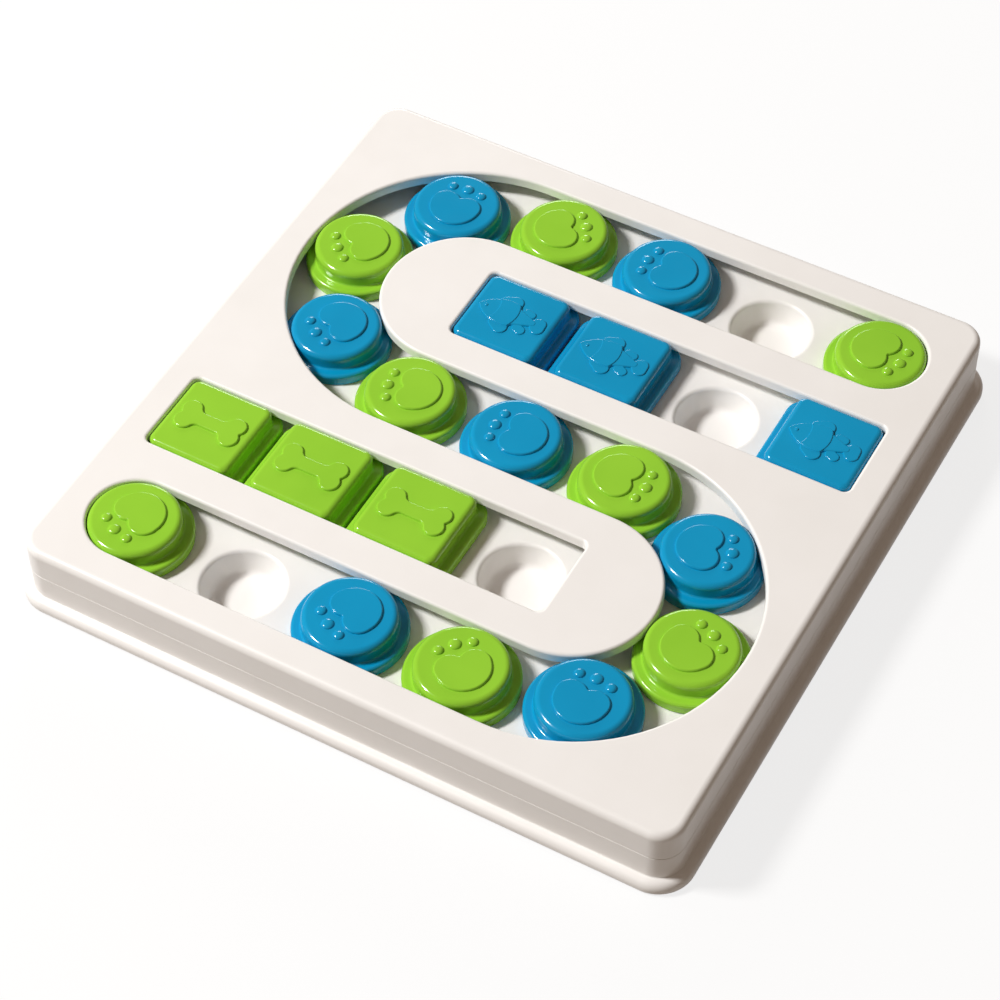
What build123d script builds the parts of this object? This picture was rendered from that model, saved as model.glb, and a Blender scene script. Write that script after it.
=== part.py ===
"""Puzzle feeder board: a white two-part board with sliders that cover round food cups.

An S-shaped track holds fifteen round paw sliders, and two straight tracks hold three square sliders each.
Every resting place of a slider has a cup under it, and a few places are left free so that the sliders can be
pushed. All sizes are millimetres. X runs along the tracks, Y from front to back, and Z up from the ground.
"""

import os
from math import cos, radians, sin

from build123d import *

# Track layout, seen from above
run_spacing = 111.0  # between neighbouring straight runs of the S track
frame_border = 14.5  # cover left between the outermost slot edges and the board's edge
track_places = 17  # resting places along the S track
free_places = (1, 15)  # places along the S track that hold no slider
block_places = 4  # resting places along a straight track
fish_places = (3, 2, 0)  # places that hold a fish slider, counted from the board's edge
bone_places = (0, 1, 2)  # places that hold a bone slider, counted from the board's edge
slot_corner = 3.0  # corner radius of the straight slots

# Heights above the ground
plate_top = 33.3  # upper face of the cover
flange_top = 6.0  # top of the tray's foot flange
rim_bottom = 1.0  # lower edge of the tray, which stands on its rubber feet

# Board shells
corner_radius = 11.0  # upright corners of the board
wall = 2.5  # side walls of both shells
plate_thickness = 3.0  # flat of the cover
lip_depth = 5.0  # depth of the slot edges below the cover's upper face
lip_wall = 2.5  # width of the collar that stiffens each slot edge
cover_edge_radius = 3.0  # rounding round the cover's upper face
slot_bevel = 1.2  # bevel of the slot edges
skirt_fit = 0.2  # clearance between the cover's skirt and the tray's spigot
foot_flange = 4.3  # how far the foot flange stands out from the wall
foot_flange_radius = 3.2  # rounding of the foot flange's upper edge
shoulder_width = 3.5  # inner ledge that joins the tray's wall to its deck
shoulder_thickness = 2.5

# Tray deck and cups
floor_depth = 12.3  # track floor below the cover's upper face
seam_drop = 2.6  # joint line between cover and tray, below the track floor
deck_thickness = 2.5
cup_ledge = 2.5  # track floor left between a cup's mouth and the slot edge above it
cup_taper = 2.5  # by which a cup is narrower at its floor
cup_depth = 11.5
cup_wall = 2.0
rib_thickness = 1.6
rib_depth = 8.0  # stiffening ribs below the deck

# Sliders
knob_clearance = 0.5  # between a slider's knob and the slot edges
slider_gap = 1.4  # least gap between the flanges of neighbouring sliders
slider_flange = 4.26  # how far a slider's flange stands out from its knob
floor_clearance = 0.3  # running clearance between a slider and the track floor
lift_play = 1.8  # how far a slider lifts before the lip holds it
knob_rise = 0.2  # knob top above the cover's upper face
knob_bevel = 2.0  # bevel round a knob's top
rim_bevel = 1.4  # bevel round the upper edge of a slider's flange
slider_shell = 2.2  # wall of the hollow sliders
block_knob_corner = 4.0
block_flange_corner = 6.5

# Raised figures on the sliders
figure_height = 0.9
paw_pad_lobe = 6.1  # radius of the two upper lobes of the pad
paw_lobe_side = 5.2
paw_lobe_back = 1.5
paw_heel = 9.2  # radius of the pad's heel
paw_heel_back = 3.8
toe_radius = 2.1
middle_toe_radius = 2.5
toe_forward = 8.3
middle_toe_forward = 9.3
toe_side = 6.9
paw_turns = (-13, 175, 35, 90, 225, 237, 195, 182, -3, 15, 60, 88, 135, 240, 248)  # where the toes point
bone_length = 30.0
bone_end_radius = 4.4
bone_end_side = 3.3
bone_shaft = 7.6
fish_rise = 1.5  # the fish's axis lies this far behind the middle of the slider
fish_nose = 15.9  # nose to the left of the middle
fish_root = 11.0  # root of the tail to the right of the middle
fish_half_depth = 7.2
trunk_end = 2.3  # the trunk's round end to the right of the middle
trunk_radius = 11.3
eye_forward = 2.8  # from the nose
eye_radius = 0.9
fish_step = 0.3  # height of each step of the fish
fish_fins = (  # middle along the fish and across it, half length and half width
    (-3.8, 6.2, 5.4, 4.0),
    (-3.9, -7.6, 4.6, 4.2),
    (5.2, 4.8, 2.6, 2.3),
    (5.2, -6.0, 2.6, 2.3),
    (11.4, -0.5, 3.7, 4.5),
)

# Screws and feet
screw_shank = 1.5  # radius
screw_head = 3.0  # radius
screw_head_height = 2.2
screw_fit = 0.1  # clearance round the shank
screw_tip_room = 0.6  # hole left past a screw's tip
boss_wall = 2.6
boss_floor = 1.2  # cover left above the screw hole of a boss
corner_screw_inset = 11.0  # from the board's edges
side_screw_inset = 15.0
foot_radius = 6.0
foot_thickness = 2.5
foot_offset = 3.0  # feet stand this far outside the end places of the S track
post_wall = 2.0

# Centre line of the S track, from its back right end to its front left end
bend_radius = run_spacing / 2
run_end = run_spacing
with BuildLine() as track_line:
    back_run = Line((run_end, run_spacing), (-bend_radius, run_spacing))
    left_bend = ThreePointArc(back_run @ 1, (-run_end, bend_radius), (-bend_radius, 0))
    middle_run = Line(left_bend @ 1, (bend_radius, 0))
    right_bend = ThreePointArc(middle_run @ 1, (run_end, -bend_radius), (bend_radius, -run_spacing))
    front_run = Line(right_bend @ 1, (-run_end, -run_spacing))
track = track_line.wire()
track_pitch = track.length / (track_places - 1)
track_points = [
    track.position_at(place * track_pitch, position_mode=PositionMode.LENGTH) for place in range(track_places)
]

# Neighbours are closest on the bends, where they lie on a chord, and as close in the straight tracks
block_pitch = 2 * bend_radius * sin(track_pitch / bend_radius / 2)
slider_flange_radius = (block_pitch - slider_gap) / 2
knob_radius = slider_flange_radius - slider_flange
slot_width = 2 * (knob_radius + knob_clearance)
cup_mouth_radius = slot_width / 2 - cup_ledge
cup_floor_radius = cup_mouth_radius - cup_taper

# Other derived sizes
board_side = 2 * (run_end + slot_width / 2 + frame_border)
block_row = bend_radius
block_slot_length = (block_places - 1) * block_pitch + slot_width
block_slot_middle = run_end + slot_width / 2 - block_slot_length / 2
deck_top = plate_top - floor_depth
deck_under = deck_top - deck_thickness
seam_height = deck_top - seam_drop
plate_under = plate_top - plate_thickness
lip_bottom = plate_top - lip_depth
spigot_side = board_side - 2 * (wall + skirt_fit)
slider_bottom = deck_top + floor_clearance
slider_height = plate_top + knob_rise - slider_bottom
slider_flange_height = lip_bottom - lift_play - slider_bottom
block_flange = 2 * slider_flange_radius
shank_hole = screw_shank + screw_fit
screw_hole_top = plate_under - boss_floor
screw_length = screw_hole_top - screw_tip_room - deck_under
boss_radius = shank_hole + boss_wall
foot_reach = run_end + foot_offset
foot_seat = foot_thickness

# Places along the two straight tracks, counted from the end at the board's edge
fish_points = [Vector(run_end - place * block_pitch, block_row) for place in range(block_places)]
bone_points = [Vector(place * block_pitch - run_end, -block_row) for place in range(block_places)]
cup_points = track_points + fish_points + bone_points

# Fastener and foot places
corner_reach = board_side / 2 - corner_screw_inset
side_reach = board_side / 2 - side_screw_inset
block_slot_end = block_slot_length / 2 - block_slot_middle
tongue_nose = run_end - slot_width / 2
nose_reach = (block_slot_end + tongue_nose) / 2
screw_points = [
    (corner_reach, corner_reach),
    (-corner_reach, corner_reach),
    (-corner_reach, -corner_reach),
    (corner_reach, -corner_reach),
    (side_reach, 0),
    (-side_reach, 0),
    (-nose_reach, block_row),
    (nose_reach, -block_row),
]
foot_points = [(x, y) for x in (-foot_reach, foot_reach) for y in (-foot_reach, foot_reach)]


def slot_outlines(margin=0.0):
    """The three slots seen from above, grown by a margin on every side."""
    with BuildSketch() as outlines:
        SlotArc(track, slot_width + 2 * margin)
        for side in (1, -1):
            with Locations((side * block_slot_middle, side * block_row)):
                RectangleRounded(
                    block_slot_length + 2 * margin, slot_width + 2 * margin, slot_corner + margin
                )
    return outlines.sketch


def upright_plane(point, height):
    """A plane through a point's vertical axis, with its own X outwards and its own Y up."""
    return Plane(origin=(point.X, point.Y, height), x_dir=(1, 0, 0), z_dir=(0, -1, 0))


def save(builder, name):
    """Name a finished piece and write it."""
    builder.part.label = name
    export_step(builder.part, f"parts/{name}.step")


def make_top_cover():
    """Upper shell: a flat plate with three slots, a skirt, collars under the slot edges and screw bosses."""
    with BuildPart() as top_cover:
        with BuildSketch(Plane.XY.offset(seam_height)):
            RectangleRounded(board_side, board_side, corner_radius)
        extrude(amount=plate_top - seam_height)
        fillet(top_cover.faces().sort_by(Axis.Z)[-1].edges(), cover_edge_radius)
        with BuildSketch(Plane.XY.offset(seam_height)):
            RectangleRounded(board_side - 2 * wall, board_side - 2 * wall, corner_radius - wall)
        extrude(amount=plate_under - seam_height, mode=Mode.SUBTRACT)
        with BuildSketch(Plane.XY.offset(lip_bottom)):
            add(slot_outlines(lip_wall))
        extrude(amount=plate_under - lip_bottom)
        with BuildSketch(Plane.XY.offset(deck_top)):
            with Locations(*screw_points):
                Circle(boss_radius)
        extrude(amount=plate_under - deck_top)
        with BuildSketch(Plane.XY.offset(deck_top)):
            with Locations(*screw_points):
                Circle(shank_hole)
        extrude(amount=screw_hole_top - deck_top, mode=Mode.SUBTRACT)
        with BuildSketch(Plane.XY.offset(lip_bottom)):
            add(slot_outlines())
        extrude(amount=lip_depth, mode=Mode.SUBTRACT)
        slot_edges = [wire.edges() for wire in top_cover.faces().sort_by(Axis.Z)[-1].inner_wires()]
        chamfer(slot_edges, slot_bevel)
    return top_cover


def make_base_tray():
    """Lower shell: a deck with round cups, a side wall with a foot flange, ribs and foot posts beneath."""
    with BuildPart() as base_tray:
        flange_side = board_side + 2 * foot_flange
        with BuildSketch(Plane.XY.offset(rim_bottom)):
            RectangleRounded(flange_side, flange_side, corner_radius + foot_flange)
        extrude(amount=flange_top - rim_bottom)
        fillet(base_tray.faces().sort_by(Axis.Z)[-1].edges(), foot_flange_radius)
        with BuildSketch(Plane.XY.offset(rim_bottom)):
            RectangleRounded(board_side, board_side, corner_radius)
        extrude(amount=seam_height - rim_bottom)
        with BuildSketch(Plane.XY.offset(seam_height)):
            RectangleRounded(spigot_side, spigot_side, corner_radius - wall - skirt_fit)
        extrude(amount=deck_top - seam_height)

        # Underside: open below, with a ledge where the wall meets the deck
        room_side = board_side - 2 * wall
        ledge_side = room_side - 2 * shoulder_width
        with BuildSketch(Plane.XY.offset(rim_bottom)):
            RectangleRounded(room_side, room_side, corner_radius - wall)
        extrude(amount=seam_height - shoulder_thickness - rim_bottom, mode=Mode.SUBTRACT)
        with BuildSketch(Plane.XY.offset(seam_height - shoulder_thickness)):
            RectangleRounded(ledge_side, ledge_side, corner_radius - wall - shoulder_width)
        extrude(amount=deck_under - seam_height + shoulder_thickness, mode=Mode.SUBTRACT)

        # Ribs between the rows of cups, and posts that carry the feet
        with BuildSketch(Plane.XY.offset(deck_under)):
            for row in (-1.5, -0.5, 0.5, 1.5):
                with Locations((0, row * bend_radius)):
                    Rectangle(ledge_side, rib_thickness)
        extrude(amount=-rib_depth)
        with BuildSketch(Plane.XY.offset(deck_under)):
            with Locations(*foot_points):
                Circle(foot_radius + post_wall)
        extrude(amount=rim_bottom - deck_under)

        # Cups: an outer cone below the deck, then the hollow
        cup_floor = deck_top - cup_depth
        shell_height = cup_depth - deck_thickness + cup_wall
        on_top = (Align.CENTER, Align.CENTER, Align.MAX)
        with Locations(*[(point.X, point.Y, deck_under) for point in cup_points]):
            Cone(cup_floor_radius + cup_wall, cup_mouth_radius + cup_wall, shell_height, align=on_top)
        with Locations(*[(point.X, point.Y, deck_top) for point in cup_points]):
            Cone(cup_floor_radius, cup_mouth_radius, deck_top - cup_floor, align=on_top, mode=Mode.SUBTRACT)

        # Screw holes through the deck, and seats for the feet
        with BuildSketch(Plane.XY.offset(deck_under)):
            with Locations(*screw_points):
                Circle(shank_hole)
        extrude(amount=deck_thickness, mode=Mode.SUBTRACT)
        with BuildSketch(Plane.XY.offset(rim_bottom)):
            with Locations(*foot_points):
                Circle(foot_radius)
        extrude(amount=foot_seat - rim_bottom, mode=Mode.SUBTRACT)
    return base_tray


def paw_figure():
    """Outline of the paw's pad: two lobes and a round heel, with the toes' side to the right."""
    lobes = [(-paw_lobe_back, paw_lobe_side), (-paw_lobe_back, -paw_lobe_side)]
    with BuildSketch() as pad:
        with Locations(*lobes):
            Circle(paw_pad_lobe)
        with Locations((-paw_heel_back, 0)):
            Circle(paw_heel)
        make_hull()
        with BuildLine():
            Polyline(lobes[0], lobes[1], (paw_pad_lobe - paw_lobe_back, -paw_lobe_side),
                     (paw_pad_lobe - paw_lobe_back, paw_lobe_side), close=True)
        make_face(mode=Mode.SUBTRACT)
        with Locations(*lobes):
            Circle(paw_pad_lobe)
    return pad.sketch


def make_paw_slider(point, turn):
    """Round slider: a hollow knob on a wider flange, with a raised paw whose toes point along the turn."""
    with BuildPart() as slider:
        with BuildSketch(upright_plane(point, slider_bottom)) as section:
            rim = (slider_flange_radius, slider_flange_height)
            edge = (knob_radius, slider_height)
            hollow_top = slider_height - slider_shell
            hollow_radius = knob_radius - slider_shell
            with BuildLine():
                Polyline((0, hollow_top), (hollow_radius, hollow_top), (hollow_radius, 0),
                         (slider_flange_radius, 0), rim, (knob_radius, slider_flange_height), edge,
                         (0, slider_height), close=True)
            make_face()
            chamfer(section.vertices().sort_by_distance(edge)[0], knob_bevel)
            chamfer(section.vertices().sort_by_distance(rim)[0], rim_bevel)
        revolve(axis=Axis((point.X, point.Y, 0), (0, 0, 1)))
        top = Plane(
            origin=(point.X, point.Y, slider_bottom + slider_height),
            x_dir=(cos(radians(turn)), sin(radians(turn)), 0),
            z_dir=(0, 0, 1),
        )
        with BuildSketch(top):
            add(paw_figure())
            with Locations((toe_forward, toe_side), (toe_forward, -toe_side)):
                Circle(toe_radius)
            with Locations((middle_toe_forward, 0)):
                Circle(middle_toe_radius)
        extrude(amount=figure_height)
    return slider


def make_block_slider(point, figure):
    """Square slider: a hollow rounded knob on a wider flange, with the layers of a raised figure on top."""
    knob_side = 2 * knob_radius
    hollow_side = knob_side - 2 * slider_shell
    seat = Plane((point.X, point.Y, slider_bottom))
    with BuildPart() as slider:
        with BuildSketch(seat):
            RectangleRounded(block_flange, block_flange, block_flange_corner)
        extrude(amount=slider_flange_height)
        chamfer(slider.faces().sort_by(Axis.Z)[-1].edges(), rim_bevel)
        with BuildSketch(seat):
            RectangleRounded(knob_side, knob_side, block_knob_corner)
        extrude(amount=slider_height)
        chamfer(slider.faces().sort_by(Axis.Z)[-1].edges(), knob_bevel)
        with BuildSketch(seat):
            RectangleRounded(hollow_side, hollow_side, block_knob_corner - slider_shell)
        extrude(amount=slider_height - slider_shell, mode=Mode.SUBTRACT)
        for layer, height in figure:
            with BuildSketch(seat.offset(slider_height)):
                add(layer)
            extrude(amount=height)
    return slider


def bone_figure():
    """A bone that lies along the track: a shaft with two round knuckles at each end."""
    end_middle = bone_length / 2 - bone_end_radius
    with BuildSketch() as bone:
        Rectangle(2 * end_middle, bone_shaft)
        for end in (end_middle, -end_middle):
            with Locations((end, bone_end_side), (end, -bone_end_side)):
                Circle(bone_end_radius)
    return [(bone.sketch, figure_height)]


def fish_figure():
    """A fish that looks to the left, in steps: body, fins and tail lowest, then trunk, then eye."""
    nose = (-fish_nose, fish_rise)
    root = (fish_root, fish_rise)
    middle = (fish_root - fish_nose) / 2
    with BuildSketch() as body:
        with BuildLine():
            ThreePointArc(nose, (middle, fish_rise + fish_half_depth), root)
            ThreePointArc(nose, (middle, fish_rise - fish_half_depth), root)
        make_face()
    with BuildSketch() as fins:
        add(body.sketch)
        for forward, up, half_length, half_width in fish_fins:
            with Locations((forward, fish_rise + up)):
                Ellipse(half_length, half_width)
    with BuildSketch() as trunk:
        add(body.sketch)
        with Locations((trunk_end - trunk_radius, fish_rise)):
            Circle(trunk_radius, mode=Mode.INTERSECT)
    with BuildSketch() as eye:
        with Locations((eye_forward - fish_nose, fish_rise)):
            Circle(eye_radius)
    layers = (fins, trunk, eye)
    return [(layer.sketch, figure_height + step * fish_step) for step, layer in enumerate(layers, start=-1)]


def make_cover_screws():
    """Pan-head screws, driven up through the deck into the cover's bosses."""
    with BuildPart() as cover_screws:
        with BuildSketch(Plane.XY.offset(deck_under)):
            with Locations(*screw_points):
                Circle(screw_head)
        extrude(amount=-screw_head_height)
        with BuildSketch(Plane.XY.offset(deck_under)):
            with Locations(*screw_points):
                Circle(screw_shank)
        extrude(amount=screw_length)
    return cover_screws


def make_rubber_feet():
    """Round feet, seated in the posts and proud of the rim."""
    with BuildPart() as rubber_feet:
        with BuildSketch():
            with Locations(*foot_points):
                Circle(foot_radius)
        extrude(amount=foot_thickness)
    return rubber_feet


os.makedirs("parts", exist_ok=True)
save(make_top_cover(), "top_cover")
save(make_base_tray(), "base_tray")
save(make_cover_screws(), "cover_screws")
save(make_rubber_feet(), "rubber_feet")

slider_points = [point for place, point in enumerate(track_points) if place not in free_places]
for number, (point, turn) in enumerate(zip(slider_points, paw_turns), start=1):
    save(make_paw_slider(point, turn), f"paw_slider_{number:02d}")
for number, place in enumerate(fish_places, start=1):
    save(make_block_slider(fish_points[place], fish_figure()), f"fish_slider_{number}")
for number, place in enumerate(bone_places, start=1):
    save(make_block_slider(bone_points[place], bone_figure()), f"bone_slider_{number}")
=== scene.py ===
# %% [markdown]
# # Finishing a sliding puzzle feeder board
#
# The object is a flat square feeder for a pet. Two white moulded shells close on each other like a shallow
# box. Fifteen round sliders run in an S-shaped slot, and two straight slots hold three square sliders each.
# Every place where a slider can stop has a round cup under it.
#
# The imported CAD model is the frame: it says where each piece is and which pieces move. Its edges are plain
# bevels. A moulded piece has soft, rounded edges everywhere, and those catch the light, so this lesson
# makes each piece again with true roundings, on the CAD's own sizes and places.

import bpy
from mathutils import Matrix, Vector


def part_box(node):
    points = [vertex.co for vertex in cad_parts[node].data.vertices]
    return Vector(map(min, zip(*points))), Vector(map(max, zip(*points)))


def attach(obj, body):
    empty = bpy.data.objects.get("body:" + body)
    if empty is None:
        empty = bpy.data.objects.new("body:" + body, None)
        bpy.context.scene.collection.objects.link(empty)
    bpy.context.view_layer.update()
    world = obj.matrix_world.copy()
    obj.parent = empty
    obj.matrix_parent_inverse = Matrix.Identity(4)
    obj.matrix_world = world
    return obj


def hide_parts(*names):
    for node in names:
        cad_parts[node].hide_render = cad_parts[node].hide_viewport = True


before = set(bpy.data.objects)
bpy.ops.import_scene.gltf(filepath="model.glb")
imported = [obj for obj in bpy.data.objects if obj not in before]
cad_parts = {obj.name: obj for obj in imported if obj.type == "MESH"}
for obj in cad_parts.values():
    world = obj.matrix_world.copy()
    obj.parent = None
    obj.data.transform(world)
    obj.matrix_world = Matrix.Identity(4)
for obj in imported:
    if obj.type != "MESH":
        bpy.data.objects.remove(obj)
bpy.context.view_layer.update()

# %% [markdown]
# ## Read the board from the frame
#
# The main sizes could be typed in again here, but then they could drift away from the CAD model. So the
# boxes of a few CAD nodes give them: the cover gives the outline and the joint line, the tray gives the
# floor of the tracks, and the sliders give the pitch. Everything is in metres.

# %% Measure the board
from math import asin, atan2, ceil, cos, hypot, pi, radians, sin, tan, tau

import bmesh
import bpy
from mathutils import Matrix, Vector

MM = 0.001


def middle(node):
    """Middle of a CAD node, seen from above."""
    low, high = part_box(node)
    return (low.x + high.x) / 2, (low.y + high.y) / 2


def in_mm(*lengths):
    """Lengths in millimetres, rounded for reading."""
    return [round(length / MM, 2) for length in lengths]


cover_low, cover_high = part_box("top_cover")
tray_low, tray_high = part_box("base_tray")
slider_low, slider_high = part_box("paw_slider_01")
board_half = cover_high.x
plate_top = cover_high.z
seam = cover_low.z
deck_top = tray_high.z
rim_bottom = tray_low.z
foot_flange = tray_high.x - board_half
run_end, run_spacing = middle("paw_slider_01")
bend_radius = run_spacing / 2
slider_flange_radius = (slider_high.x - slider_low.x) / 2
slider_bottom = slider_low.z
block_pitch = middle("bone_slider_2")[0] - middle("bone_slider_1")[0]
print("board width and height in mm", in_mm(2 * board_half, plate_top))
print("track floor and block pitch in mm", in_mm(deck_top, block_pitch))

# %% [markdown]
# ## Set up the camera
#
# The camera looks down on the front right of the board from a little over a metre away, with a long lens,
# so that the far side looks hardly smaller than the near side. Its place is given by the angle round the
# board, the angle above the ground and the distance to a point on the board. A constraint could aim it, but
# a matrix built from its three directions also holds its slight roll.

# %% Camera
scene = bpy.context.scene
view_point = Vector((6.08, -24.57, 20.51)) * MM
view_distance = 1.1622
view_turn = radians(29.63)
view_rise = radians(50.63)
view_roll = radians(-0.69)

to_camera = Vector((sin(view_turn) * cos(view_rise), -cos(view_turn) * cos(view_rise), sin(view_rise)))
to_right = Vector((cos(view_turn), sin(view_turn), 0))
upward = to_camera.cross(to_right)
camera = bpy.data.objects.new("camera", bpy.data.cameras.new("camera"))
camera.data.sensor_width = 36
camera.data.lens = 104.0
turned = Matrix((to_right, upward, to_camera)).transposed() @ Matrix.Rotation(view_roll, 3, "Z")
camera.matrix_world = Matrix.Translation(view_point + to_camera * view_distance) @ turned.to_4x4()
scene.collection.objects.link(camera)
bpy.context.scene.camera = camera
print("camera at", [round(value, 3) for value in camera.location])

# %% [markdown]
# ## Light it like a product picture
#
# The key lamp stands on the left of the picture, about as high as it is far off. It puts the small white
# lights on the edges of the sliders and sends the shadows to the right. A much weaker lamp, low behind the
# board, draws a thin light along the far edges. A weak, warm world fills in the rest, so that the slots and
# cups stay dark enough to read. One big lamp overhead would be simpler, but it would flatten the raised
# figures.

# %% Lamps and world
scene.view_settings.view_transform = "Standard"
board_top = Vector((0, 0, plate_top))
lamp_colour = (1.0, 0.99, 0.98)
world_colour = (1.0, 0.77, 0.60, 1)
world_strength = 0.18


def area_lamp(name, distance, turn, rise, size, watts):
    """A soft square lamp that looks at the board, set by its distance and its angles round and above it."""
    place = distance * Vector((cos(turn) * cos(rise), sin(turn) * cos(rise), sin(rise)))
    lamp = bpy.data.lights.new(name, "AREA")
    lamp.size = size
    lamp.energy = watts
    lamp.color = lamp_colour
    holder = bpy.data.objects.new(name, lamp)
    holder.location = place
    holder.rotation_euler = (board_top - place).to_track_quat("-Z", "Y").to_euler()
    scene.collection.objects.link(holder)


area_lamp("key_lamp", distance=3.0, turn=radians(208), rise=radians(47), size=0.5, watts=93)
area_lamp("edge_lamp", distance=2.0, turn=radians(120), rise=radians(18), size=0.6, watts=9)

world = bpy.data.worlds.new("studio")
world.use_nodes = True
background = world.node_tree.nodes["Background"]
background.inputs["Color"].default_value = world_colour
background.inputs["Strength"].default_value = world_strength
scene.world = world

# %% [markdown]
# ## The floor
#
# The floor is a large plain sheet. A white one would throw too much light up at the walls of the board. So
# its paint has two shades, picked by the kind of ray that meets it: seen by the camera or in a reflection
# it is nearly white, and for the light that it throws back it is a warm grey. Most of what is seen is an
# even white card, and the rest keeps the board's soft shadow.

# %% Node helpers
MIX_FIRST, MIX_SECOND, MIX_RESULT = 6, 7, 2  # a Mix node's sockets for colours


def new_material(name):
    """A material, its node tree and its main shader."""
    material = bpy.data.materials.new(name)
    material.use_nodes = True
    return material, material.node_tree, material.node_tree.nodes["Principled BSDF"]


def feed(tree, socket, value):
    """Give a socket the output of another node, a number, or a colour of red, green and blue."""
    if isinstance(value, bpy.types.NodeSocket):
        tree.links.new(value, socket)
    elif isinstance(value, tuple):
        socket.default_value = (*value, 1)
    else:
        socket.default_value = value


def blended(tree, share, first, second):
    """A colour between two others."""
    mix = tree.nodes.new("ShaderNodeMix")
    mix.data_type = "RGBA"
    feed(tree, mix.inputs["Factor"], share)
    feed(tree, mix.inputs[MIX_FIRST], first)
    feed(tree, mix.inputs[MIX_SECOND], second)
    return mix.outputs[MIX_RESULT]


def worked_out(tree, operation, first, second):
    """The result of a Math node."""
    node = tree.nodes.new("ShaderNodeMath")
    node.operation = operation
    feed(tree, node.inputs[0], first)
    feed(tree, node.inputs[1], second)
    return node.outputs[0]


def as_mesh(bm, name):
    """The mesh of a bmesh, which is used up."""
    mesh = bpy.data.meshes.new(name)
    bm.to_mesh(mesh)
    bm.free()
    return mesh


# %% Floor
floor_side = 6.0
floor_shade = (0.34, 0.30, 0.26)  # for the light that it throws back
floor_seen = (0.97, 0.97, 0.97)  # for the camera and in reflections
floor_roughness = 0.9
card_share = 0.8

bm = bmesh.new()
bmesh.ops.create_grid(bm, x_segments=1, y_segments=1, size=floor_side / 2)
floor = bpy.data.objects.new("floor", as_mesh(bm, "floor"))
scene.collection.objects.link(floor)

floor_paint, tree, paint = new_material("floor_paint")
paint.inputs["Roughness"].default_value = floor_roughness
ray = tree.nodes.new("ShaderNodeLightPath").outputs
seen = worked_out(tree, "MAXIMUM", ray["Is Camera Ray"], ray["Is Glossy Ray"])
seen = worked_out(tree, "MAXIMUM", seen, ray["Is Transmission Ray"])
feed(tree, paint.inputs["Base Color"], blended(tree, seen, floor_shade, floor_seen))
white_card = tree.nodes.new("ShaderNodeEmission")
card_mix = tree.nodes.new("ShaderNodeMixShader")
feed(tree, card_mix.inputs["Fac"], worked_out(tree, "MULTIPLY", seen, card_share))
feed(tree, card_mix.inputs[1], paint.outputs[0])
feed(tree, card_mix.inputs[2], white_card.outputs[0])
feed(tree, tree.nodes["Material Output"].inputs["Surface"], card_mix.outputs[0])
floor.data.materials.append(floor_paint)
print("floor", floor_side, "m square")

# %% [markdown]
# ## Finishes
#
# The shells and sliders are moulded from solid-coloured plastic. Such a surface isn't one flat colour: the
# melt leaves soft clouds a few centimetres across, the polish of the mould varies a little, and a very fine
# orange peel breaks up the reflections. White parts also show a few specks of dust. All this could be
# painted on an unwrapped picture. Noise on the piece's own coordinates needs no unwrapping and shows no
# seam, so it is used here. The rubber and the steel follow the same recipe with values of their own.

# %% Noise and dust
NOISE_RANGE = (0.3, 0.7)  # where most of a noise's values lie
dust_net = 70  # cells to the metre
speck_fade = (0.035, 0.015)  # a speck's edge and its full core, as shares of a cell
dusty_above = 0.9  # only cells with a random shade above this hold a speck


def noise(tree, place, scale, detail):
    """A noise texture on the piece's own coordinates."""
    texture = tree.nodes.new("ShaderNodeTexNoise")
    feed(tree, texture.inputs["Vector"], place)
    feed(tree, texture.inputs["Scale"], scale)
    feed(tree, texture.inputs["Detail"], detail)
    return texture.outputs["Fac"]


def ranged(tree, value, given, wanted):
    """A value moved from a given range to a wanted one, and held inside it."""
    node = tree.nodes.new("ShaderNodeMapRange")
    feed(tree, node.inputs["Value"], value)
    for end, number in zip(("From Min", "From Max", "To Min", "To Max"), (*given, *wanted)):
        feed(tree, node.inputs[end], number)
    return node.outputs["Result"]


def dust(tree, place):
    """Share of dust: small round specks in some cells of a net."""
    net = tree.nodes.new("ShaderNodeTexVoronoi")
    feed(tree, net.inputs["Vector"], place)
    feed(tree, net.inputs["Scale"], dust_net)
    speck = ranged(tree, net.outputs["Distance"], speck_fade, (0, 1))
    picked = worked_out(tree, "GREATER_THAN", net.outputs["Color"], dusty_above)
    return worked_out(tree, "MULTIPLY", speck, picked)


print("width of a dust cell in mm", in_mm(1 / dust_net))

# %% Make the finishes
cloud_grain = (28, 3)  # scale and detail of the noise
polish_grain = (140, 2)
peel_grain = (900, 2)
peel_strength = 0.06
peel_depth = 0.05 * MM
dust_shade = 0.62
plastic_ior = 1.5


def make_finish(name, pale, deep, smooth, dull, dusty=False, metallic=0.0):
    """A surface between two shades and two roughnesses, with a fine orange peel."""
    material, tree, shader = new_material(name)
    place = tree.nodes.new("ShaderNodeTexCoord").outputs["Object"]
    clouds = ranged(tree, noise(tree, place, *cloud_grain), NOISE_RANGE, (0, 1))
    colour = blended(tree, clouds, pale, deep)
    if dusty:
        grey = tuple(dust_shade * part for part in deep)
        colour = blended(tree, dust(tree, place), colour, grey)
    feed(tree, shader.inputs["Base Color"], colour)
    polish = ranged(tree, noise(tree, place, *polish_grain), NOISE_RANGE, (smooth, dull))
    feed(tree, shader.inputs["Roughness"], polish)
    peel = tree.nodes.new("ShaderNodeBump")
    peel.inputs["Strength"].default_value = peel_strength
    peel.inputs["Distance"].default_value = peel_depth
    feed(tree, peel.inputs["Height"], noise(tree, place, *peel_grain))
    feed(tree, shader.inputs["Normal"], peel.outputs["Normal"])
    shader.inputs["IOR"].default_value = plastic_ior
    shader.inputs["Metallic"].default_value = metallic
    return material


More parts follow.
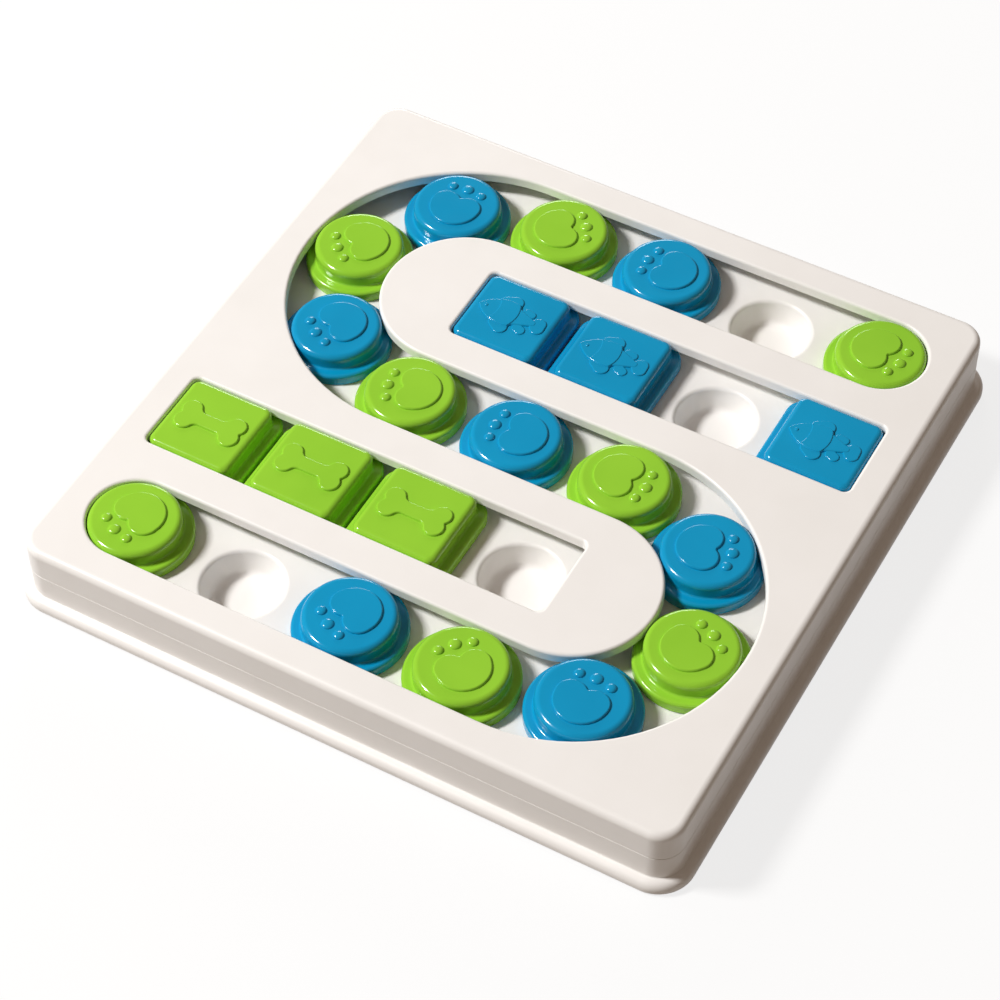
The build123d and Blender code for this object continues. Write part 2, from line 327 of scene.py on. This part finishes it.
finishes = {
    "white_plastic": make_finish("white_plastic", pale=(0.93, 0.916, 0.898), deep=(0.90, 0.884, 0.862),
                                 smooth=0.32, dull=0.40, dusty=True),
    "green_plastic": make_finish("green_plastic", pale=(0.32, 0.665, 0.042), deep=(0.285, 0.615, 0.036),
                                 smooth=0.12, dull=0.18),
    "blue_plastic": make_finish("blue_plastic", pale=(0.003, 0.33, 0.61), deep=(0.002, 0.295, 0.555),
                                smooth=0.12, dull=0.18),
    "foot_rubber": make_finish("foot_rubber", pale=(0.30, 0.29, 0.28), deep=(0.24, 0.235, 0.23),
                               smooth=0.7, dull=0.85),
    "screw_steel": make_finish("screw_steel", pale=(0.62, 0.62, 0.63), deep=(0.54, 0.54, 0.56),
                               smooth=0.25, dull=0.42, metallic=1.0),
}
print("finishes", list(finishes))

# %% [markdown]
# ## Belts, profiles and stacks
#
# Every outline on this object is made of arcs that run smoothly into straight lines, like a belt round
# pulleys. So an outline is a list of pulleys: middle x, middle y and radius, with a negative radius where
# the belt bends the other way. Growing an outline by a margin only adds that margin to every radius.
#
# A profile says how a wall goes up: corner points of margin and height, each with its rounding. A stack
# puts one belt at each point of a profile and joins them with faces. That makes shells, cups, knobs and
# raised figures. Plain walls with bevelled edges would be the usual way, but here every rounding keeps its
# own exact radius.

# %% How a belt turns
SAME_ANGLE = 1e-6


def heading(this, following):
    """Direction of the straight run from one pulley to the next."""
    along = Vector((following[0] - this[0], following[1] - this[1]))
    slant = (following[2] - this[2]) / along.length
    return atan2(along.y, along.x) - asin(max(-1, min(1, slant)))


def turn_at(pulley, arrive, leave):
    """Angle that the belt turns through on a pulley, to the left unless the radius is negative."""
    side = 1 if pulley[2] > 0 else -1
    turn = side * (leave - arrive) % tau
    return side * (0 if turn > tau - SAME_ANGLE else turn)


two_pulleys = ((0, 0, MM), (-1, 0, MM))
print("half turn on one of two pulleys", round(turn_at(two_pulleys[0], 0, heading(*two_pulleys)), 3))

# %% Belt round pulleys
ARC_STEP = radians(4)
SAME_PLACE = 1e-7


def ring_of(vert):
    """Edges of the closed loop through a vertex."""
    edges = [vert.link_edges[0]]
    while True:
        vert = edges[-1].other_vert(vert)
        onward = next(edge for edge in vert.link_edges if edge != edges[-1])
        if onward == edges[0]:
            return edges
        edges.append(onward)


def belt(bm, pulleys, margin, height):
    """A closed loop of edges round some pulleys."""
    if len(pulleys) == 1:
        x, y, radius = pulleys[0]
        ring = bmesh.ops.create_circle(bm, segments=ceil(tau / ARC_STEP), radius=radius + margin,
                                       matrix=Matrix.Translation((x, y, height)))
        return ring_of(ring["verts"][0])
    first = last = None
    for here, pulley in enumerate(pulleys):
        following = pulleys[(here + 1) % len(pulleys)]
        arrive = heading(pulleys[here - 1], pulley)
        turn = turn_at(pulley, arrive, heading(pulley, following))
        x, y, radius = pulley
        reach = radius + margin
        spot = Vector((x + reach * sin(arrive), y - reach * cos(arrive), height))
        start = last
        if last is None or (spot - last.co).length > SAME_PLACE:
            start = bm.verts.new(spot)
        if last is None:
            first = start
        elif start != last:
            bm.edges.new((last, start))
        steps = max(2, ceil(abs(turn) / ARC_STEP))
        swept = bmesh.ops.spin(bm, geom=[start], cent=(x, y, height), axis=(0, 0, 1), angle=turn, steps=steps)
        last = swept["geom_last"][0]
    if (first.co - last.co).length > SAME_PLACE:
        bm.edges.new((last, first))
    else:
        bmesh.ops.weld_verts(bm, targetmap={last: first})
    return ring_of(first)


trial = bmesh.new()
print("edges of a belt round one pulley", len(belt(trial, [(0, 0, 10 * MM)], 0, 0)))
trial.free()

# %% Rounded profile
ROUND_STEPS = 6
HOLD = 0.12 * MM  # a line this near a rounding keeps the flat beside it flat


def soften(*corners):
    """Points of a profile whose corners are (margin, height, rounding)."""
    points = []
    for here, (margin, height, rounding) in enumerate(corners):
        corner = Vector((margin, height))
        if not rounding:
            points.append(corner)
            continue
        back = (Vector(corners[here - 1][:2]) - corner).normalized()
        on = (Vector(corners[here + 1][:2]) - corner).normalized()
        half = back.angle(on) / 2
        centre = corner + (back + on).normalized() * rounding / sin(half)
        start = corner + back * rounding / tan(half)
        end = corner + on * rounding / tan(half)
        points.append(start + back * HOLD)
        for step in range(ROUND_STEPS + 1):
            points.append(centre + rounding * (start - centre).slerp(end - centre, step / ROUND_STEPS))
        points.append(end + on * HOLD)
    return points


cap_profile = soften((0, 0, 0), (0, 5 * MM, MM), (-3 * MM, 5 * MM, 0))
print("points of a profile with one rounding", len(cap_profile))

# %% Stacks and flat faces
ONCE = ((0, 0),)


def put_copies(shell, mesh, places):
    """Add a mesh to a shell, once at every place."""
    for x, y in places:
        mesh.transform(Matrix.Translation((x, y, 0)))
        shell.from_mesh(mesh)
        mesh.transform(Matrix.Translation((-x, -y, 0)))


def join_on(shell, part, places=ONCE):
    """Add a part to a shell, once at every place. The part is used up."""
    mesh = as_mesh(part, "part")
    put_copies(shell, mesh, places)
    bpy.data.meshes.remove(mesh)


def stack(shell, pulleys, profile, places=ONCE):
    """A wall with a belt at every point of a profile. Gives the first and the last rims of all its copies.

    The belts are joined one above another and then set to their heights, because belts that lie in one plane
    would be joined askew.
    """
    part = bmesh.new()
    loops = [belt(part, pulleys, point[0], step * MM) for step, point in enumerate(profile)]
    for lower, upper in zip(loops, loops[1:]):
        bmesh.ops.bridge_loops(part, edges=lower + upper)
    for loop, (_, height) in zip(loops, profile):
        for vert in {vert for edge in loop for vert in edge.verts}:
            vert.co.z = height
    join_on(shell, part, places)
    moved = [[(x + right, y + back, radius) for x, y, radius in pulleys] for right, back in places]
    return [(outline, profile[0]) for outline in moved], [(outline, profile[-1]) for outline in moved]


def flat(shell, *rims):
    """A flat face inside the first rim and outside the others."""
    part = bmesh.new()
    edges = []
    for pulleys, (margin, height) in rims:
        edges += belt(part, pulleys, margin, height)
    bmesh.ops.triangle_fill(part, use_beauty=True, edges=edges, normal=(0, 0, 1))
    join_on(shell, part)


trial = bmesh.new()
feet, tops = stack(trial, [(0, 0, 10 * MM)], cap_profile)
flat(trial, *tops)
print("rims and faces of a round cap", len(feet + tops), len(trial.faces))
trial.free()

# %% Finished pieces
WELD = 0.001 * MM
SHARP_CORNER = radians(32)


def finished_mesh(bm, name):
    """A mesh with its normals outwards, smooth over the roundings and sharp at plain corners."""
    bmesh.ops.remove_doubles(bm, verts=bm.verts, dist=WELD)
    bmesh.ops.recalc_face_normals(bm, faces=bm.faces)
    print(name, "open edges", sum(not edge.is_manifold for edge in bm.edges))
    mesh = as_mesh(bm, name)
    mesh.shade_smooth()
    mesh.set_sharp_from_angle(angle=SHARP_CORNER)
    return mesh


def piece(name, mesh, body, nodes, slot):
    """A piece that rides on a body, stands for CAD nodes and has the finish of a slot."""
    mesh.materials.append(finishes[slot])
    made = bpy.data.objects.new(name, mesh)
    scene.collection.objects.link(made)
    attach(made, body)
    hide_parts(*nodes)
    print(name, len(mesh.polygons), "faces")


# %% [markdown]
# ## Where the slots, cups and screws are
#
# The S-shaped slot is one belt round six pulleys: its two round ends, and each bend once on its outer and
# once on its inner side. The places of the cups are stepped off evenly along the middle of the track. They
# could be read from the sliders' boxes, but four places have no slider at rest.

# %% Slots
slider_flange = 4.26 * MM
knob_clearance = 0.5 * MM
slot_corner = 3.0 * MM
corner_radius = 11.0 * MM
block_places = 4
knob_radius = slider_flange_radius - slider_flange
slot_half = knob_radius + knob_clearance


def rounded_box(left, right, front, back, radius):
    """Four pulleys, given the middles of a box's round corners."""
    return [(right, back, radius), (left, back, radius), (left, front, radius), (right, front, radius)]


corner_middle = board_half - corner_radius
board_outline = rounded_box(-corner_middle, corner_middle, -corner_middle, corner_middle, corner_radius)
outer_bend = bend_radius + slot_half
inner_bend = slot_half - bend_radius
track_slot = [
    (run_end, run_spacing, slot_half),
    (-bend_radius, bend_radius, outer_bend),
    (bend_radius, -bend_radius, inner_bend),
    (-run_end, -run_spacing, slot_half),
    (bend_radius, -bend_radius, outer_bend),
    (-bend_radius, bend_radius, inner_bend),
]
row_corner = slot_half - slot_corner
far_corner = run_end + slot_half - slot_corner
near_corner = far_corner - (block_places - 1) * block_pitch - 2 * row_corner
fish_slot = rounded_box(near_corner, far_corner, bend_radius - row_corner, bend_radius + row_corner,
                        slot_corner)
bone_slot = [(-x, -y, radius) for x, y, radius in fish_slot]
slots = (track_slot, fish_slot, bone_slot)
print("slot width in mm", in_mm(2 * slot_half))

# %% Cup places
half_track_steps = 8
straight = run_end + bend_radius
bend = pi * bend_radius
half_track = straight + bend + bend_radius
track_pitch = half_track / half_track_steps


def half_track_place(way):
    """Place on the back half of the S track, a way from its end."""
    if way <= straight:
        return run_end - way, run_spacing
    if way <= straight + bend:
        angle = pi / 2 + (way - straight) / bend_radius
        return bend_radius * (cos(angle) - 1), bend_radius * (sin(angle) + 1)
    return way - half_track, 0


back_half = [half_track_place(step * track_pitch) for step in range(half_track_steps)]
cup_places = back_half + [(0, 0)] + [(-x, -y) for x, y in back_half]
cup_places += [(run_end - step * block_pitch, bend_radius) for step in range(block_places)]
cup_places += [(step * block_pitch - run_end, -bend_radius) for step in range(block_places)]
print("cups", len(cup_places), "pitch in mm", in_mm(track_pitch))

# %% Screw and foot places
corner_screw_inset = 11.0 * MM
side_screw_inset = 15.0 * MM
foot_beyond_run = 3.0 * MM


def square_corners(reach):
    """Places at the corners of a square."""
    return [(x * reach, y * reach) for x in (-1, 1) for y in (-1, 1)]


side_screw = board_half - side_screw_inset
tongue_screw = (run_end - slot_half - near_corner + slot_corner) / 2
screw_places = square_corners(board_half - corner_screw_inset)
screw_places += [(side_screw, 0), (-side_screw, 0)]
screw_places += [(-tongue_screw, bend_radius), (tongue_screw, -bend_radius)]
foot_places = square_corners(run_end + foot_beyond_run)
print("screws", len(screw_places), "feet", len(foot_places))

# %% [markdown]
# ## The cover
#
# The cover is a plate with a short skirt. Each slot has a rounded upper edge and, below, a collar that
# stiffens it. Hollow bosses under the plate take the screws. The lower edge of the skirt is very slightly
# rounded, so that the joint with the tray shows as a fine line.
#
# It could be cut from a block with Booleans and then bevelled. Stacks are used instead: each wall is a
# stack, and flat faces close what is left between their rims, above and below.

# %% Make the cover
wall = 2.5 * MM
plate_thickness = 3.0 * MM
plate_round = 3.0 * MM
plate_border = 5.0 * MM  # a border is how far a wall's faces run on into the flat beside it
lip_depth = 5.0 * MM
lip_wall = 2.5 * MM
lip_round = 0.4 * MM
slot_round = 1.3 * MM
slot_border = 2.5 * MM
boss_radius = 4.2 * MM
boss_bore = 1.6 * MM
boss_floor = 1.2 * MM
seam_round = 0.4 * MM
plate_under = plate_top - plate_thickness
lip_bottom = plate_top - lip_depth

bm = bmesh.new()
skirt = soften((-wall, plate_under, 0), (-wall, seam, 0), (0, seam, seam_round),
               (0, plate_top, plate_round), (-plate_border, plate_top, 0))
under_rims, top_rims = stack(bm, board_outline, skirt)
collar = soften((lip_wall, plate_under, 0), (lip_wall, lip_bottom, 0), (0, lip_bottom, lip_round),
                (0, plate_top, slot_round), (slot_border, plate_top, 0))
for slot in slots:
    lower, upper = stack(bm, slot, collar)
    under_rims += lower
    top_rims += upper
boss = soften((0, plate_under, 0), (0, deck_top, 0), (boss_bore - boss_radius, deck_top, 0),
              (boss_bore - boss_radius, plate_under - boss_floor, 0))
roots, bore_ends = stack(bm, [(0, 0, boss_radius)], boss, screw_places)
for bore_end in bore_ends:
    flat(bm, bore_end)
flat(bm, *top_rims)
flat(bm, *under_rims, *roots)
piece("cover_shell", finished_mesh(bm, "cover_shell"), "board", ["top_cover"], "white_plastic")

# %% [markdown]
# ## The tray
#
# The tray is the lower shell: a deck with a cup at every place, a wall up to the joint line and a rounded
# foot flange. The cups have soft mouths. Beneath, four ribs and four posts stiffen the deck and carry the
# feet.
#
# The shell is made of stacks, like the cover. The ribs run across the round walls of the cups, which no
# stack can follow, so they are joined on at the end with a Boolean.

# %% Deck, wall and cups
deck_thickness = 2.5 * MM
spigot_play = 0.2 * MM
ledge_width = 3.5 * MM
ledge_thickness = 2.5 * MM
rim_round = 0.5 * MM
flange_top = 6.0 * MM
flange_round = 3.2 * MM
mouth_inset = 2.5 * MM
mouth_round = 1.9 * MM
mouth_border = 2.6 * MM
cup_depth = 11.5 * MM
cup_taper = 2.5 * MM
cup_wall = 2.0 * MM
cup_round = 3.0 * MM
cup_border = 8.0 * MM
bottom_round = 1.5 * MM
bottom_border = 4.5 * MM
deck_under = deck_top - deck_thickness
spigot = wall + spigot_play
ledge = wall + ledge_width
ledge_under = seam - ledge_thickness
mouth_radius = slot_half - mouth_inset
cup_floor = deck_top - cup_depth
cup_under = cup_floor - cup_wall

bm = bmesh.new()
side = soften((-ledge, deck_under, 0), (-ledge, ledge_under, 0), (-wall, ledge_under, 0),
              (-wall, rim_bottom, rim_round), (foot_flange, rim_bottom, rim_round),
              (foot_flange, flange_top, flange_round), (0, flange_top, rim_round), (0, seam, seam_round),
              (-spigot, seam, 0), (-spigot, deck_top, 0))
under_rims, deck_rims = stack(bm, board_outline, side)
hollow = soften((mouth_border, deck_top, 0), (0, deck_top, mouth_round), (-cup_taper, cup_floor, cup_round),
                (-cup_border, cup_floor, 0))
outside = soften((0, deck_under, 0), (-cup_taper, cup_under, bottom_round), (-bottom_border, cup_under, 0))
mouths, cup_floors = stack(bm, [(0, 0, mouth_radius)], hollow, cup_places)
roots, cup_bottoms = stack(bm, [(0, 0, mouth_radius + cup_wall)], outside, cup_places)
flat(bm, *deck_rims, *mouths)
print("cup mouth and depth in mm", in_mm(2 * mouth_radius, cup_depth))

# %% Foot posts, two under the end cups and two under the deck
post_radius = 8.0 * MM
post_round = 0.4 * MM
foot_radius = 6.0 * MM
foot_seat = 2.5 * MM
seat_step = foot_radius - post_radius

under_cups = [(x, y) for x, y in foot_places if x * y > 0]
under_deck = [(x, y) for x, y in foot_places if x * y < 0]
short_post = soften((0, cup_under, 0), (0, rim_bottom, post_round), (seat_step, rim_bottom, 0),
                    (seat_step, foot_seat, 0))
long_post = [Vector((0, deck_under)), *short_post[1:]]
short_roots, short_seats = stack(bm, [(0, 0, post_radius)], short_post, under_cups)
long_roots, long_seats = stack(bm, [(0, 0, post_radius)], long_post, under_deck)
for rim in cup_floors + short_seats + long_seats:
    flat(bm, rim)
for (cup_x, cup_y), bottom in zip(cup_places, cup_bottoms):
    beside = [root for root, (x, y) in zip(short_roots, under_cups)
              if hypot(x - cup_x, y - cup_y) < post_radius]
    flat(bm, bottom, *beside)
flat(bm, *under_rims, *roots, *long_roots)
tray_mesh = finished_mesh(bm, "tray_shell")

# %% Joining and cutting with Booleans


def loose_object(mesh, name):
    """A helper object that is used up in making a piece."""
    made = bpy.data.objects.new(name, mesh)
    scene.collection.objects.link(made)
    return made


def combined(base, tool, operation):
    """The mesh of a base with a tool added to it or taken away from it. The tool is used up."""
    change = base.modifiers.new(operation, "BOOLEAN")
    change.operation = operation
    change.solver = "MANIFOLD"
    change.object = tool
    bpy.context.view_layer.update()
    mesh = bpy.data.meshes.new_from_object(base.evaluated_get(bpy.context.evaluated_depsgraph_get()))
    base.modifiers.clear()
    bpy.data.objects.remove(tool)
    return mesh


def closed_up(mesh, name):
    """The mesh of a Boolean in triangles, with slivers welded shut, and smooth like the other pieces."""
    bm = bmesh.new()
    bm.from_mesh(mesh)
    bmesh.ops.triangulate(bm, faces=bm.faces)
    return finished_mesh(bm, name)


def add_block(bm, place, size):
    """Add a plain block, with its place as a matrix."""
    bmesh.ops.create_cube(bm, size=1, matrix=place @ Matrix.Diagonal((*size, 1)))


# %% Ribs under the deck
rib_rows = (-1.5, -0.5, 0.5, 1.5)  # in bend radii from the middle of the board
rib_thickness = 1.6 * MM
rib_depth = 8.0 * MM
rib_root = 0.6 * MM  # how far a rib reaches into the deck, the ledge and the cups' walls
hollow_segments = 60
rib_size = (2 * (board_half - ledge + rib_root), rib_thickness, rib_depth + rib_root)

bm = bmesh.new()
for row in rib_rows:
    place = Matrix.Translation((0, row * bend_radius, deck_under + (rib_root - rib_depth) / 2))
    add_block(bm, place, rib_size)
ribs = loose_object(as_mesh(bm, "ribs"), "ribs")
bm = bmesh.new()
for x, y in cup_places:
    place = Matrix.Translation((x, y, (cup_floor + deck_top) / 2))
    bmesh.ops.create_cone(bm, cap_ends=True, segments=hollow_segments, depth=deck_top - cup_floor,
                          radius1=mouth_radius - cup_taper + rib_root, radius2=mouth_radius + rib_root,
                          matrix=place)
ribs.data = combined(ribs, loose_object(as_mesh(bm, "cup_hollows"), "cup_hollows"), "DIFFERENCE")
plain_tray = loose_object(tray_mesh, "plain_tray")
tray_mesh = closed_up(combined(plain_tray, ribs, "UNION"), "tray")
bpy.data.objects.remove(plain_tray)
piece("tray_shell", tray_mesh, "board", ["base_tray"], "white_plastic")

# %% [markdown]
# ## Raised figures
#
# The figures on the sliders are low reliefs with round shoulders. They could be bumps in the finish, but
# then their edges would catch no light from the side, so they are real steps. Each one is an outline, a
# height and a shoulder width. Where two arcs of an outline meet in a corner that points inwards, a small
# pulley of negative radius makes the soft notch that a cutter would leave in the mould.

# %% Reliefs


def notch(first, second, radius):
    """A small round that touches two pulleys, on the right of the way from one to the other.

    It is on the left if one of them has a negative radius. A negative radius of its own makes a round inside
    a corner.
    """
    start, end = Vector(first[:2]), Vector(second[:2])
    gap = end - start
    near, far = first[2] + radius, second[2] + radius
    along = (near ** 2 - far ** 2 + gap.length ** 2) / (2 * gap.length)
    aside = (near ** 2 - along ** 2) ** 0.5
    direction = gap.normalized()
    side = 1 if first[2] * second[2] > 0 else -1
    spot = start + direction * along + side * aside * Vector((direction.y, -direction.x))
    return spot.x, spot.y, -radius


def round_shoulder(height, rise, shoulder):
    """Profile of a round shoulder that rises from a height and ends in a flat top."""
    profile = []
    for step in range(ROUND_STEPS + 1):
        angle = step / ROUND_STEPS * pi / 2
        profile.append((shoulder * (cos(angle) - 1), height + rise * sin(angle)))
    return profile + [(-shoulder - HOLD, height + rise)]


def relief(bm, figure, height):
    """Raise a figure from a height. Gives its foot, the loop where it leaves the surface."""
    pulleys, rise, shoulder = figure
    feet, crests = stack(bm, pulleys, round_shoulder(height, rise, shoulder))
    flat(bm, *crests)
    return feet[0]


def in_metres(*pulleys):
    """Pulleys given in millimetres."""
    return [tuple(MM * value for value in pulley) for pulley in pulleys]


trial_rounds = in_metres((0, -4, 5), (0, 4, 5))
print("notch between two rounds in mm", in_mm(*notch(*trial_rounds, MM)))

# %% [markdown]
# ## Round paw sliders
#
# A slider is a hollow cap: a knob that stands in the slot, and a flange below that the cover's collar holds
# down. The knob's root and rim are well rounded. The paw is a pad with two lobes and a round heel, and
# three toes. All fifteen come from one mould, so one mesh is made, and each slider is a copy that is turned
# its own way.

# %% Slider body
slider_shell = 2.2 * MM
knob_stand = 0.2 * MM
knob_round = 2.4 * MM
knob_border = 3.0 * MM
knob_root_round = 1.0 * MM
flange_play = 1.8 * MM
slider_flange_round = 1.4 * MM
slider_foot_round = 0.5 * MM
inner_foot_round = 0.3 * MM
ceiling_round = 1.0 * MM
ceiling_border = 2.0 * MM
knob_top = plate_top + knob_stand
flange_up = lip_bottom - flange_play
ceiling = knob_top - slider_shell


def slider_body(bm, knob, figures):
    """A hollow knob with a flange, and raised figures on its top."""
    profile = soften(
        (-slider_shell - ceiling_border, ceiling, 0), (-slider_shell, ceiling, ceiling_round),
        (-slider_shell, slider_bottom, inner_foot_round), (slider_flange, slider_bottom, slider_foot_round),
        (slider_flange, flange_up, slider_flange_round), (0, flange_up, knob_root_round),
        (0, knob_top, knob_round), (-knob_border, knob_top, 0))
    roofs, tops = stack(bm, knob, profile)
    flat(bm, *roofs)
    flat(bm, *tops, *[relief(bm, figure, knob_top) for figure in figures])


def place_slider(name, mesh, turn, slot):
    """A copy of a slider, turned and set down in its place."""
    x, y = middle(name)
    copy = mesh.copy()
    copy.transform(Matrix.Translation((x, y, 0)) @ Matrix.Rotation(turn, 4, "Z"))
    piece(name + "_cap", copy, name, [name], slot)


print("knob width and height in mm", in_mm(2 * knob_radius, knob_top - flange_up))

# %% Paw sliders
lobe_notch = 0.9 * MM
pad_rise = 1.0 * MM
pad_shoulder = 0.7 * MM
toe_rise = 1.1 * MM
toe_shoulder = 0.85  # of its radius
lobes = in_metres((-1.3, -4.9, 6.5), (-1.3, 4.9, 6.5))
heel = in_metres((-1.9, 0, 11.3))
toes = in_metres((8.6, -6.9, 2.2), (9.6, 0, 2.6), (8.6, 6.9, 2.2))
# the way that each slider's toes point, in degrees
toe_turns = (-13, 175, 35, 90, 225, 237, 195, 182, -3, 15, 60, 88, 135, 240, 248)

pad = [lobes[0], notch(*lobes, lobe_notch), lobes[1], *heel]
paw = [(pad, pad_rise, pad_shoulder)]
paw += [([toe], toe_rise, toe_shoulder * toe[2]) for toe in toes]
bm = bmesh.new()
slider_body(bm, [(0, 0, knob_radius)], paw)
paw_mesh = finished_mesh(bm, "paw_slider")
for number, turn in enumerate(toe_turns, start=1):
    colour = "green_plastic" if number % 2 else "blue_plastic"
    place_slider(f"paw_slider_{number:02d}", paw_mesh, radians(turn), colour)
bpy.data.meshes.remove(paw_mesh)

# %% [markdown]
# ## Square bone sliders
#
# These have the same section as the round ones, on a rounded square. The bone is one relief with round
# knuckles. Its outline could be drawn point by point, but four knuckles, four hollows that run into the
# shaft and a notch at each end are all that it needs.

# %% Bone sliders
block_corner = 4.0 * MM
knuckle_out, knuckle_up, knuckle_radius = 10.6, 3.3, 4.4  # in millimetres, like the next two
shaft_half = 3.4
hollow_radius = 3.0
knuckle_notch = 0.8 * MM
bone_rise = 1.0 * MM
bone_shoulder = 0.6 * MM
hollow_up = shaft_half + hollow_radius
hollow_out = knuckle_out - ((knuckle_radius + hollow_radius) ** 2 - (hollow_up - knuckle_up) ** 2) ** 0.5

corner = knob_radius - block_corner
block_knob = rounded_box(-corner, corner, -corner, corner, block_corner)
upper_half = in_metres((knuckle_out, knuckle_up, knuckle_radius), (hollow_out, hollow_up, -hollow_radius),
                       (-hollow_out, hollow_up, -hollow_radius), (-knuckle_out, knuckle_up, knuckle_radius))
lower_half = [(-x, -y, radius) for x, y, radius in upper_half]
bone = [*upper_half, notch(upper_half[-1], lower_half[0], knuckle_notch),
        *lower_half, notch(lower_half[-1], upper_half[0], knuckle_notch)]
bm = bmesh.new()
slider_body(bm, block_knob, [(bone, bone_rise, bone_shoulder)])
bone_mesh = finished_mesh(bm, "bone_slider")
for number in (1, 2, 3):
    place_slider(f"bone_slider_{number}", bone_mesh, 0, "green_plastic")
bpy.data.meshes.remove(bone_mesh)

# %% [markdown]
# ## Fish sliders
#
# The fish is built up as an engraver would cut it, from low lumps with round shoulders that overlap: fins
# and tail lowest, then the head and the rear of the body, then the trunk, and a small dome for the eye. One
# outline can't cross itself, so each lump is a closed body that reaches into the knob, and a Boolean union
# melts them all into one skin.

# %% Lumps of the fish
fish_corner = 0.5  # in millimetres, like the outlines below
trunk_inset = 0.15  # the trunk's step inside the edge of the body
lump_shoulder = 0.5 * MM
lump_sunk = 0.5 * MM


def rounded(arcs, radius):
    """Arcs that follow each other anticlockwise, with a small round in every corner."""
    outline = []
    for arc, following in zip(arcs, arcs[1:] + arcs[:1]):
        outline += [arc, notch(following, arc, -radius)]
    return outline


belly = (-2.45, 8.6, 15.8)
back = (-2.45, -8.6, 15.8)
trunk_end = (-10.6, 0, 13.6)
gill = (-20.6, 0, -13.7)
body = [belly, trunk_end, back]
trunk = [(x, y, radius - trunk_inset) for x, y, radius in body] + [gill]
fish_lumps = [  # outline and height: fins, tail, rear, body, trunk and eye
    ([(-4.6, 5.4, 3.9), (-1.8, 7.1, 3.5)], 0.6),
    ([(-4.6, -6.2, 3.0), (-1.5, -8.0, 3.4)], 0.6),
    ([(5.0, 4.4, 2.2), (7.2, 4.0, 2.1)], 0.5),
    ([(5.2, -5.0, 2.4), (6.9, -5.8, 2.3)], 0.5),
    ([(12.6, 1.0, 3.1), (9.2, 0.2, 1.4), (12.8, -1.7, 3.1)], 0.6),
    ([(1.0, 3.6, 1.6), (1.0, -3.6, 1.6), (9.6, 0, 1.7)], 0.75),
    (rounded(body, fish_corner), 0.85),
    (rounded(trunk, fish_corner), 1.1),
    ([(-12.2, 0, 1.0)], 1.2),
]


def lump(outline, rise):
    """A closed lump on the top of a knob, which also reaches a little way into it."""
    bm = bmesh.new()
    profile = [(0, knob_top - lump_sunk)] + round_shoulder(knob_top, rise, lump_shoulder)
    feet, crests = stack(bm, outline, profile)
    flat(bm, *crests)
    flat(bm, *feet)
    return loose_object(finished_mesh(bm, "lump"), "lump")


print("lumps", len(fish_lumps))

# %% Fish sliders
bm = bmesh.new()
slider_body(bm, block_knob, [])
fish_block = loose_object(finished_mesh(bm, "fish_block"), "fish_block")
for outline, rise in fish_lumps:
    fish_block.data = combined(fish_block, lump(in_metres(*outline), rise * MM), "UNION")
fish_mesh = closed_up(fish_block.data, "fish_slider")
bpy.data.objects.remove(fish_block)
for number in (1, 2, 3):
    place_slider(f"fish_slider_{number}", fish_mesh, 0, "blue_plastic")
bpy.data.meshes.remove(fish_mesh)

# %% [markdown]
# ## Screws and feet
#
# Both are only seen from below. A screw has a pan head with a cross recess, and its shank goes up through
# the deck into a boss of the cover. A foot is a rubber disc with soft edges and a shallow hollow that helps
# it to cling. Both are round, so a stack round one pulley makes each, and two thin blocks cut the cross.

# %% Cover screws
screws_low, screws_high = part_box("cover_screws")
shank_radius = 1.5 * MM
tip_length = 1.8 * MM
tip_taper = 1.2 * MM
tip_round = 0.3 * MM
head_rim = 1.5 * MM  # how far the head stands out from the shank
head_edge_round = 0.2 * MM
head_round = 1.2 * MM
head_border = 1.0 * MM
recess_depth = 1.2 * MM
recess_size = (3.4 * MM, 0.8 * MM, 2 * recess_depth)

bm = bmesh.new()
screw_profile = soften(
    (-tip_taper, screws_high.z, 0), (0, screws_high.z - tip_length, tip_round), (0, deck_under, 0),
    (head_rim, deck_under, head_edge_round), (head_rim, screws_low.z, head_round),
    (-head_border, screws_low.z, 0))
tips, crowns = stack(bm, [(0, 0, shank_radius)], screw_profile)
flat(bm, *tips)
flat(bm, *crowns)
screw = loose_object(finished_mesh(bm, "screw"), "screw")
for turn in (0, pi / 2):
    bm = bmesh.new()
    add_block(bm, Matrix.Translation((0, 0, screws_low.z)) @ Matrix.Rotation(turn, 4, "Z"), recess_size)
    screw.data = combined(screw, loose_object(as_mesh(bm, "recess"), "recess"), "DIFFERENCE")

bm = bmesh.new()
put_copies(bm, screw.data, screw_places)
bpy.data.objects.remove(screw)
piece("screw_set", finished_mesh(bm, "screw_set"), "board", ["cover_screws"], "screw_steel")

# %% Rubber feet
foot_top_round = 0.2 * MM
foot_top_border = 3.0 * MM
foot_edge_round = 0.6 * MM
foot_ring = 1.6 * MM
foot_slope = 2.2 * MM
foot_hollow = 0.5 * MM
foot_hollow_round = 0.4 * MM
foot_hollow_border = 4.0 * MM

bm = bmesh.new()
foot_profile = soften(
    (-foot_top_border, foot_seat, 0), (0, foot_seat, foot_top_round), (0, 0, foot_edge_round),
    (-foot_ring, 0, foot_hollow_round), (-foot_slope, foot_hollow, foot_hollow_round),
    (-foot_hollow_border, foot_hollow, 0))
foot_tops, foot_hollows = stack(bm, [(0, 0, foot_radius)], foot_profile, foot_places)
for rim in foot_tops + foot_hollows:
    flat(bm, rim)
piece("foot_set", finished_mesh(bm, "foot_set"), "board", ["rubber_feet"], "foot_rubber")
